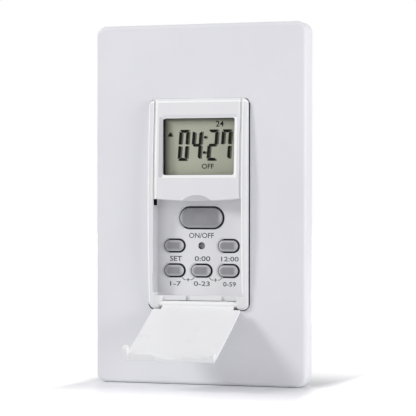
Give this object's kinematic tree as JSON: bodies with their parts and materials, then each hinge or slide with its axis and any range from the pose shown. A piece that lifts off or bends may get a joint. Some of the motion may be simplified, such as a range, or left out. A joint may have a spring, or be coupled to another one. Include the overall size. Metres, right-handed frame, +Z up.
{
  "type": "timer light switch",
  "caption": "In-wall digital timer light switch with a display, rubber keys behind a hinged flip-down door, in a screwless wall plate.",
  "frame": {"origin": "on the wall's surface, midway between the two wall-box screws", "axes": "+X to the viewer's right, +Y into the wall, +Z up; the face looks along -Y"},
  "size_m": [0.0698, 0.0695, 0.1142],
  "materials": {
    "plate": "smooth moulded white, satin",
    "housing": "smooth moulded white, satin",
    "door": "thin moulded white, faintly translucent",
    "sub_plate": "moulded white, matt",
    "strap": "zinc plated",
    "steel": "zinc plated",
    "green_screw": "green passivated",
    "fibre": "pressed fibre",
    "lens": "clear, polished",
    "lcd": "greenish grey reflective display",
    "lcd_ink": "dark lit segments",
    "legend": "grey printing",
    "inner_plastic": "moulded",
    "zebra": "striped silicone",
    "circuit_board": "green solder mask",
    "component_black": "moulded epoxy",
    "component_blue": "moulded",
    "component_yellow": "boxed",
    "rear_case": "fine matt mould texture",
    "brass": "plain",
    "key_rubber": "grey silicone rubber, matt"
  },
  "bodies": {
    "switch": {"wall_plate": "plate", "plate_frame": "sub_plate", "plate_screws": "steel", "mounting_strap": "strap", "box_screws": "steel", "screw_washers": "fibre", "ground_screw": "green_screw", "front_housing": "housing", "display_panel": "housing", "lcd_window": "lens", "lcd_glass": "lcd", "lcd_frame": "inner_plastic", "zebra_strips": "zebra", "display_board": "circuit_board", "board_screws": "steel", "controller_chip": "component_black", "clock_crystal": "steel", "keypad_mat": "key_rubber", "pin_header": "component_black", "insulator_sheet": "fibre", "rear_housing": "rear_case", "housing_screws": "steel", "power_board": "circuit_board", "power_board_screws": "steel", "relay": "component_blue", "film_capacitor": "component_yellow", "filter_capacitors": "component_black", "varistor": "component_blue", "choke": "component_black", "wire_terminals": "brass", "battery_holder": "inner_plastic", "backup_battery": "steel"},
    "door": {"door": "door"},
    "manual_key": {"manual_key": "key_rubber"},
    "prog_key": {"prog_key": "key_rubber"},
    "clock_key": {"clock_key": "key_rubber"},
    "day_key": {"day_key": "key_rubber"},
    "hour_key": {"hour_key": "key_rubber"},
    "minute_key": {"minute_key": "key_rubber"},
    "reset_key": {"reset_key": "key_rubber"}
  },
  "joints": [
    {"name": "door_hinge", "type": "hinge", "parent": "switch", "child": "door", "pos_m": [0, -0.0079, -0.0316], "axis": [-1, 0, 0], "range_deg": [0, 115]},
    {"name": "manual_press", "type": "slide", "parent": "switch", "child": "manual_key", "axis": [0, 1, 0], "range_m": [0, 0.0007], "stiffness_N_per_m": 300},
    {"name": "prog_press", "type": "slide", "parent": "switch", "child": "prog_key", "axis": [0, 1, 0], "range_m": [0, 0.0007], "stiffness_N_per_m": 250},
    {"name": "clock_press", "type": "slide", "parent": "switch", "child": "clock_key", "axis": [0, 1, 0], "range_m": [0, 0.0007], "stiffness_N_per_m": 250},
    {"name": "day_press", "type": "slide", "parent": "switch", "child": "day_key", "axis": [0, 1, 0], "range_m": [0, 0.0007], "stiffness_N_per_m": 250},
    {"name": "hour_press", "type": "slide", "parent": "switch", "child": "hour_key", "axis": [0, 1, 0], "range_m": [0, 0.0007], "stiffness_N_per_m": 250},
    {"name": "minute_press", "type": "slide", "parent": "switch", "child": "minute_key", "axis": [0, 1, 0], "range_m": [0, 0.0007], "stiffness_N_per_m": 250},
    {"name": "reset_press", "type": "slide", "parent": "switch", "child": "reset_key", "axis": [0, 1, 0], "range_m": [0, 0.0007], "stiffness_N_per_m": 250}
  ]
}
